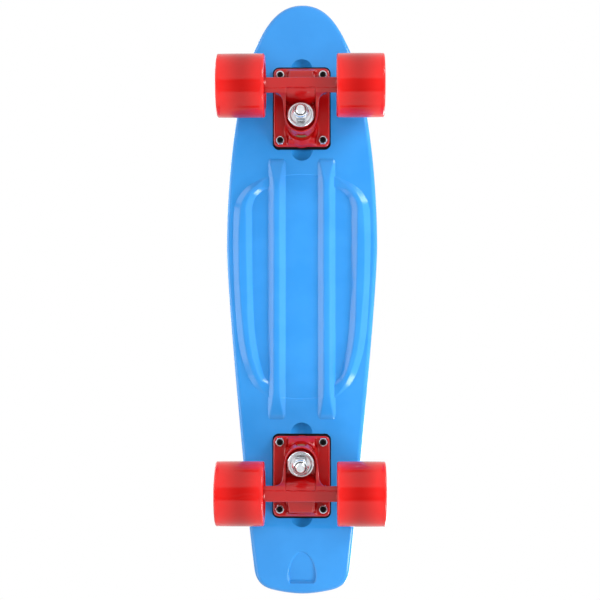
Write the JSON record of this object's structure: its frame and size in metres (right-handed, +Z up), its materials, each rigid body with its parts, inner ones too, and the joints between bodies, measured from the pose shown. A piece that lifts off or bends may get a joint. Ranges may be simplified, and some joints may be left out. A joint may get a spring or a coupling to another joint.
{
  "type": "cruiser skateboard",
  "caption": "Small moulded-plastic cruiser skateboard with a ribbed deck, a kicked tail, leaning trucks and wide rolling wheels.",
  "frame": {"origin": "on the ground, under the middle of the deck", "axes": "+Z up, +Y to the nose, +X to the right looking to the nose"},
  "size_m": [0.1572, 0.578, 0.1032],
  "materials": {
    "deck_plastic": "moulded polypropylene, satin gloss",
    "riser_rubber": "matte black rubber",
    "truck_paint": "glossy red paint on cast aluminium",
    "wheel_urethane": "cast urethane, satin, slightly translucent",
    "bushing_urethane": "cast urethane, amber",
    "cup_plastic": "black plastic",
    "bright_zinc": "bright zinc plate",
    "yellow_zinc": "yellow zinc plate",
    "plain_steel": "ground steel"
  },
  "bodies": {
    "board": {"deck": "deck_plastic", "front_nose_left_bolt": "bright_zinc", "front_nose_right_bolt": "bright_zinc", "front_tail_left_bolt": "bright_zinc", "front_tail_right_bolt": "bright_zinc", "rear_nose_left_bolt": "bright_zinc", "rear_nose_right_bolt": "bright_zinc", "rear_tail_left_bolt": "bright_zinc", "rear_tail_right_bolt": "bright_zinc", "front_riser_pad": "riser_rubber", "front_baseplate": "truck_paint", "front_pivot_cup": "cup_plastic", "front_kingpin": "bright_zinc", "front_kingpin_nut": "bright_zinc", "front_board_side_washer": "yellow_zinc", "front_road_side_washer": "bright_zinc", "front_board_side_bushing": "bushing_urethane", "front_road_side_bushing": "bushing_urethane", "rear_riser_pad": "riser_rubber", "rear_baseplate": "truck_paint", "rear_pivot_cup": "cup_plastic", "rear_kingpin": "bright_zinc", "rear_kingpin_nut": "bright_zinc", "rear_board_side_washer": "yellow_zinc", "rear_road_side_washer": "bright_zinc", "rear_board_side_bushing": "bushing_urethane", "rear_road_side_bushing": "bushing_urethane"},
    "front_swing": {"front_hanger": "truck_paint", "front_axle": "plain_steel", "front_left_bearing_spacer": "plain_steel", "front_left_inner_speed_ring": "bright_zinc", "front_left_outer_speed_ring": "bright_zinc", "front_left_axle_nut": "bright_zinc", "front_right_bearing_spacer": "plain_steel", "front_right_inner_speed_ring": "bright_zinc", "front_right_outer_speed_ring": "bright_zinc", "front_right_axle_nut": "bright_zinc"},
    "rear_swing": {"rear_hanger": "truck_paint", "rear_axle": "plain_steel", "rear_left_bearing_spacer": "plain_steel", "rear_left_inner_speed_ring": "bright_zinc", "rear_left_outer_speed_ring": "bright_zinc", "rear_left_axle_nut": "bright_zinc", "rear_right_bearing_spacer": "plain_steel", "rear_right_inner_speed_ring": "bright_zinc", "rear_right_outer_speed_ring": "bright_zinc", "rear_right_axle_nut": "bright_zinc"},
    "front_left_roller": {"front_left_wheel": "wheel_urethane", "front_left_inner_bearing": "plain_steel", "front_left_outer_bearing": "plain_steel"},
    "front_right_roller": {"front_right_wheel": "wheel_urethane", "front_right_inner_bearing": "plain_steel", "front_right_outer_bearing": "plain_steel"},
    "rear_left_roller": {"rear_left_wheel": "wheel_urethane", "rear_left_inner_bearing": "plain_steel", "rear_left_outer_bearing": "plain_steel"},
    "rear_right_roller": {"rear_right_wheel": "wheel_urethane", "rear_right_inner_bearing": "plain_steel", "rear_right_outer_bearing": "plain_steel"}
  },
  "joints": [
    {"name": "front_lean", "type": "hinge", "parent": "board", "child": "front_swing", "pos_m": [0, 0.16517, 0.047], "axis": [0, 0.9397, 0.3421], "range_deg": [-12, 12], "stiffness_Nm_per_rad": 40, "deforming": ["front_board_side_bushing", "front_road_side_bushing"]},
    {"name": "rear_lean", "type": "hinge", "parent": "board", "child": "rear_swing", "pos_m": [0, -0.15666, 0.047], "axis": [0, -0.9397, 0.3421], "range_deg": [-12, 12], "stiffness_Nm_per_rad": 40, "deforming": ["rear_board_side_bushing", "rear_road_side_bushing"]},
    {"name": "front_left_roll", "type": "hinge", "parent": "front_swing", "child": "front_left_roller", "pos_m": [-0.05615, 0.195, 0.03], "axis": [1, 0, 0], "continuous": true},
    {"name": "front_right_roll", "type": "hinge", "parent": "front_swing", "child": "front_right_roller", "pos_m": [0.05615, 0.195, 0.03], "axis": [1, 0, 0], "continuous": true},
    {"name": "rear_left_roll", "type": "hinge", "parent": "rear_swing", "child": "rear_left_roller", "pos_m": [-0.05615, -0.1865, 0.03], "axis": [1, 0, 0], "continuous": true},
    {"name": "rear_right_roll", "type": "hinge", "parent": "rear_swing", "child": "rear_right_roller", "pos_m": [0.05615, -0.1865, 0.03], "axis": [1, 0, 0], "continuous": true}
  ]
}
